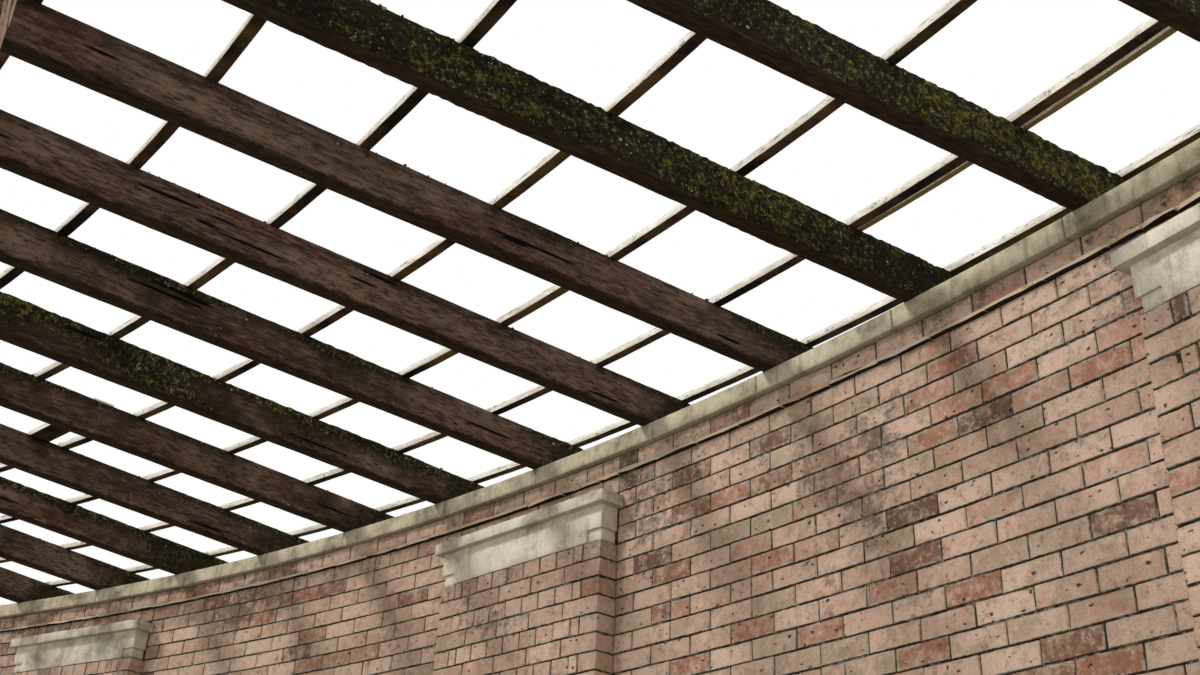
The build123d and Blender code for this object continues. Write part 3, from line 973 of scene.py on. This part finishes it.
class TimberLook(bpy.types.PropertyGroup):
    """Sizes and colours of the timbers, and of the moss and lichen on them."""
    rafter_dark: colour("#30231c", "Dark fibres of the rafters")
    rafter_mid: colour("#5c483f", "Body of the rafters")
    rafter_pale: colour("#806b5b", "Dry faces of the rafters")
    rafter_red: colour("#694338", "Ruddy parts of the rafters")
    # Painted shade with damp on the undersides and edges; also the dark fibres and checks
    rafter_damp_grain_and_shade: colour("#1d170f", "Damp undersides and edges")
    # Painted shade with damp: patches on the undersides, and damp edges
    rafter_bare_damp_and_shade: colour("#463826", "Drier parts of the undersides")
    batten_dark: colour("#cdc4b2", "Dark fibres of the battens")
    batten_mid: colour("#e6dfd0", "Body of the battens")
    batten_pale: colour("#f0ebe0", "Bleached faces of the battens")
    # Painted shade on the battens' undersides; also their dark fibres and checks
    batten_grain_and_shade: colour("#1d1812", "Damp undersides of the battens")
    # Painted shade: lighter patches on the battens' undersides
    batten_underside_shade: colour("#5a462f", "Drier undersides of the battens")
    # Painted shade on the second lath's underside; also its dark fibres and checks
    lath_grain_and_shade: colour("#7a6840", "Underside of the younger second lath")
    stain: colour("#2c2314", "Stain round the moss")
    # Painted shade: near-black inside of the drying cracks
    crack: colour("#0d0a08", "Inside of the drying cracks")
    crust_dark: colour("#14120a", "Dark crust on the rafters")
    crust: colour("#3c3719", "Grey crust on the rafters")
    moss: colour("#7d7430", "Moss on the timbers")
    moss_dark: colour("#373314", "Moss in the shade")
    lichen_pale: colour("#aba680", "Crusts of pale lichen")
    sway: length(0.0012, "How far the faces of a timber wander")
    fine: length(0.0006, "How rough the faces of a timber are")
    crust_height: length(0.012, "Height of the crust of moss")
    crack_depth: length(0.018, "Depth of the drying cracks")
    crack_width: length(0.0045, "Half the width of the drying cracks")
    cushion: length(0.004, "Typical radius of a moss cushion")
    cushions: factor(1300, "Moss cushions on a fully grown rafter")
    moss_on_top: factor(0.3, "Share of the cushions on the upper face")
    damp_end: length(0.9, "Length of the damp outer end of a rafter")
    mossy_step: length(0.018, "Longest stretch of a mossy rafter's faces")
    step: length(0.03, "Longest stretch of a rafter's faces, along the grain")
    step_across: length(0.04, "Longest stretch across the grain")
    batten_step: length(0.06, "Longest stretch of a batten's faces")
    narrow: length(0.03, "Laths under this width are younger than the battens")
    arris: length(0.002, "Width of a batten's worn edge")


class StageLook(bpy.types.PropertyGroup):
    """Camera, lights and floor."""
    focal: factor(39.39, "Focal length in millimetres")
    camera_x: length(6.169, "Camera along the walk")
    camera_radius: length(12.1075, "Camera from the centre of the curve")
    eye: length(1.567, "Camera above the ground")
    heading: factor(129.874, "Heading in degrees from +X")
    pitch: factor(28.041, "Pitch in degrees, up")
    roll: factor(2.686, "Roll in degrees, right side up")
    floor: colour("#d9d6d0", "Studio floor")
    key: factor(2.2, "Strength of the key light")
    fill: factor(0.75, "Strength of the fill light")


# Operators

class PERGOLA_OT_brickwork(bpy.types.Operator):
    """Lays the bricks and tiles of the wall, the pilasters and the inner piers in lime mortar"""
    bl_idname = "pergola.brickwork"
    bl_label = "Brickwork"

    def execute(self, context):
        look = context.scene.pergola_brickwork
        materials = (brick_material(look), tile_material(look), mortar_material(look))
        brick_set = brick_shapes(count=15, wear=0.028, rough=(0.004, 0.008, 0.012))
        tile_set = brick_shapes(count=9, wear=0.03, rough=(0.004, 0.03, 0.05))
        for seed, node in enumerate(PANELS + PILASTERS + PIERS, start=1):
            lay_bricks(node, seed, look, materials, brick_set, tile_set)
        return {"FINISHED"}


class PERGOLA_OT_stonework(bpy.types.Operator):
    """Sets the worn caps and the coping, stone by stone"""
    bl_idname = "pergola.stonework"
    bl_label = "Stonework"

    def execute(self, context):
        look = context.scene.pergola_stone
        dice = random.Random(5)
        cap = stone_material("cap_sandstone", look, look.cap, look.cap_pale, look.cap_grey)
        coping = stone_material("coping_sandstone", look, look.coping, look.coping_pale,
                                look.coping_grey)
        for node in CAPS:
            whole = bmesh.new()
            for stone in solids(node):
                middle = sum((v.co for v in stone.verts), Vector()) / len(stone.verts)
                worn_stone(stone, upright_axes(middle).to_3x3(), look.stone_step, look,
                           dice.random() * 50)
                append(whole, stone)
            finish_piece(f"stone_{node}", whole, cap, 35, [node])
        for node in COPINGS:
            finish_piece(f"stones_{node}", coping_stones(node, look, dice), coping, 35,
                         [node])
        return {"FINISHED"}


class PERGOLA_OT_rafters(bpy.types.Operator):
    """Makes the worn rafters, with their cracks and their crust of moss"""
    bl_idname = "pergola.rafters"
    bl_label = "Rafters"

    def execute(self, context):
        look = context.scene.pergola_timber
        material = dark_timber("weathered_rafter_hardwood", look)
        moss, cushions = moss_material(look), moss_shapes(count=6)
        dice = random.Random(11)
        matrices, marks = [], []
        for number, node in enumerate(RAFTERS):
            growth = RAFTER_GROWTH[number]
            bm = merged(node)
            matrix = laid_flat(bm, corners(node), outward=True)
            cracks = list(CRACKS.get(node, ()))
            steps = (look.mossy_step,) * 3
            if growth < MOSSY:
                steps = (look.step, look.step_across, look.step_across)
                cracks += [(start, start + dice.uniform(*CRACK_LENGTHS), dice.uniform(*CRACK_HEIGHTS))
                           for start in (dice.uniform(*CRACK_RADII) for _ in range(2))]
            middle = (matrix.translation.xy - CENTRE).length
            cut_up(bm, (steps[0], 1, 1))
            for start, end, height in cracks:
                open_crack(bm, -1, start - middle, end - middle, height, look)
            worn_timber(bm, matrix, number + 1, look, growth, steps, end_growth=0.12)
            finish_piece(f"worn_{node}", bm, material, 45, [node])
            more, more_marks = moss_on_rafter(node, growth, dice, look)
            matrices += more
            marks += more_marks
        variants = [dice.randrange(len(cushions[0])) for _ in matrices]
        mesh = copies("moss_cushions", cushions, variants, np.array(matrices),
                      mark=np.array(marks))
        finish_piece("moss_cushions", mesh, moss, 60)
        return {"FINISHED"}


class PERGOLA_OT_beams(bpy.types.Operator):
    """Makes the worn inner beams"""
    bl_idname = "pergola.beams"
    bl_label = "Beams"

    def execute(self, context):
        look = context.scene.pergola_timber
        material = dark_timber("weathered_beam_hardwood", look)
        for seed, node in enumerate(BEAMS, start=30):
            bm = merged(node)
            matrix = laid_flat(bm, corners(node))
            worn_timber(bm, matrix, seed, look, BEAM_GROWTH,
                        (look.step, look.step_across, look.step_across))
            finish_piece(f"worn_{node}", bm, material, 45, [node])
        return {"FINISHED"}


class PERGOLA_OT_battens(bpy.types.Operator):
    """Lays the bleached battens"""
    bl_idname = "pergola.battens"
    bl_label = "Battens"

    def execute(self, context):
        look = context.scene.pergola_timber
        bleached = (look.batten_dark, look.batten_mid, look.batten_pale, look.batten_pale)
        # The last two colours of each set paint shade on the undersides, and darken fibres and checks
        material = timber_material("bleached_batten", look,
                                   (*bleached, look.batten_grain_and_shade, look.batten_underside_shade))
        younger = timber_material("younger_lath", look,
                                  (*bleached, look.lath_grain_and_shade, look.lath_grain_and_shade))
        laths = bmesh.new()
        for row, node in enumerate(BATTENS):
            whole = bmesh.new()
            for number, bm in enumerate(solids(node)):
                matrix = laid_flat(bm, np.array([v.co for v in bm.verts]))
                narrow = min(e.calc_length() for e in bm.edges) < look.narrow
                arrises = [e for e in bm.edges if e.calc_face_angle(0) > SHARP]
                round_edges(bm, arrises, look.arris)
                worn_timber(bm, matrix, row * 20 + number + 40, look, growth=0.0, dampness=0.0,
                            steps=(look.batten_step, look.step_across, look.step_across))
                append(laths if narrow else whole, bm)
            finish_piece(f"worn_{node}", whole, material, 45, [node])
        finish_piece("worn_second_lath", laths, younger, 45)
        return {"FINISHED"}


FLOOR_REACH = 80  # metres from the middle of the floor to its sides
KEY_DIRECTION = Vector((-0.55, -0.62, 0.75))  # where the key light comes from


class PERGOLA_OT_stage(bpy.types.Operator):
    """Sets the floor, the soft lights and the camera"""
    bl_idname = "pergola.stage"
    bl_label = "Stage"

    def execute(self, context):
        look = context.scene.pergola_stage
        add_floor(look)
        add_lights(look)
        add_camera(look)
        return {"FINISHED"}


def add_floor(look):
    """Wide pale floor at ground level."""
    bm = bmesh.new()
    bmesh.ops.create_grid(bm, x_segments=1, y_segments=1, size=FLOOR_REACH)
    floor = put_in_scene("studio_floor", mesh_of(bm, "studio_floor"))
    paint = Look("studio_floor", 0.9)
    paint.shader.inputs["Base Color"].default_value = look.floor
    floor.data.materials.append(paint.material)


def add_lights(look):
    """Even fill from all round, seen as white, and a broad soft key light."""
    world = bpy.data.worlds.new("studio")
    bpy.context.scene.world = world
    world.use_nodes = True
    tree = world.node_tree
    rays = add(tree, "ShaderNodeLightPath").outputs
    seen = rays["Is Camera Ray"]
    for name in ("Is Glossy Ray", "Is Transmission Ray"):
        seen = add(tree, "ShaderNodeMath", {0: seen, 1: rays[name]}, operation="MAXIMUM").outputs[0]
    strength = add(tree, "ShaderNodeMapRange", {"Value": seen, "To Min": look.fill, "To Max": 1.0})
    background = tree.nodes["Background"]
    tree.links.new(strength.outputs[0], background.inputs["Strength"])
    background.inputs["Color"].default_value = (1, 1, 1, 1)
    lamp = bpy.data.lights.new("key_light", "SUN")
    lamp.energy = look.key
    lamp.angle = radians(10)
    key = put_in_scene("key_light", lamp)
    key.rotation_euler = KEY_DIRECTION.to_track_quat("Z", "Y").to_euler()


def add_camera(look):
    """Camera at eye height on the walk."""
    camera = bpy.data.cameras.new("view")
    camera.sensor_width = 36
    camera.sensor_fit = "HORIZONTAL"
    camera.lens = look.focal
    camera.clip_end = 200
    viewer = put_in_scene("view", camera)
    heading, pitch, roll = radians(look.heading), radians(look.pitch), radians(look.roll)
    forward = Vector((cos(heading) * cos(pitch), sin(heading) * cos(pitch), sin(pitch)))
    level = Vector((sin(heading), -cos(heading), 0))
    upward = level.cross(forward)
    right = level * cos(roll) + upward * sin(roll)
    up = upward * cos(roll) - level * sin(roll)
    matrix = Matrix((right, up, -forward)).transposed().to_4x4()
    y = CENTRE_Y + math.sqrt(look.camera_radius ** 2 - look.camera_x ** 2)
    matrix.translation = Vector((look.camera_x, y, look.eye))
    viewer.matrix_world = matrix
    bpy.context.scene.camera = viewer
    bpy.context.scene.view_settings.view_transform = "Standard"


class PERGOLA_PT_panel(bpy.types.Panel):
    """Lists the pergola's pieces"""
    bl_idname = "PERGOLA_PT_panel"
    bl_label = "Pergola"
    bl_space_type = "VIEW_3D"
    bl_region_type = "UI"
    bl_category = "Pergola"

    def draw(self, context):
        for operator in OPERATORS:
            self.layout.operator(operator.bl_idname)


OPERATORS = (PERGOLA_OT_stage, PERGOLA_OT_brickwork, PERGOLA_OT_stonework, PERGOLA_OT_rafters,
             PERGOLA_OT_beams, PERGOLA_OT_battens)
GROUPS = {"pergola_brickwork": BrickworkLook, "pergola_stone": StoneLook,
          "pergola_timber": TimberLook, "pergola_stage": StageLook}


def register():
    for cls in (*GROUPS.values(), *OPERATORS, PERGOLA_PT_panel):
        bpy.utils.register_class(cls)
    for name, group in GROUPS.items():
        setattr(bpy.types.Scene, name, PointerProperty(type=group))


def unregister():
    for name in GROUPS:
        delattr(bpy.types.Scene, name)
    for cls in reversed((*GROUPS.values(), *OPERATORS, PERGOLA_PT_panel)):
        bpy.utils.unregister_class(cls)


def main():
    register()
    for operator in ("stage", "brickwork", "stonework", "rafters", "beams", "battens"):
        getattr(bpy.ops.pergola, operator)()


if __name__ == "__main__":
    main()
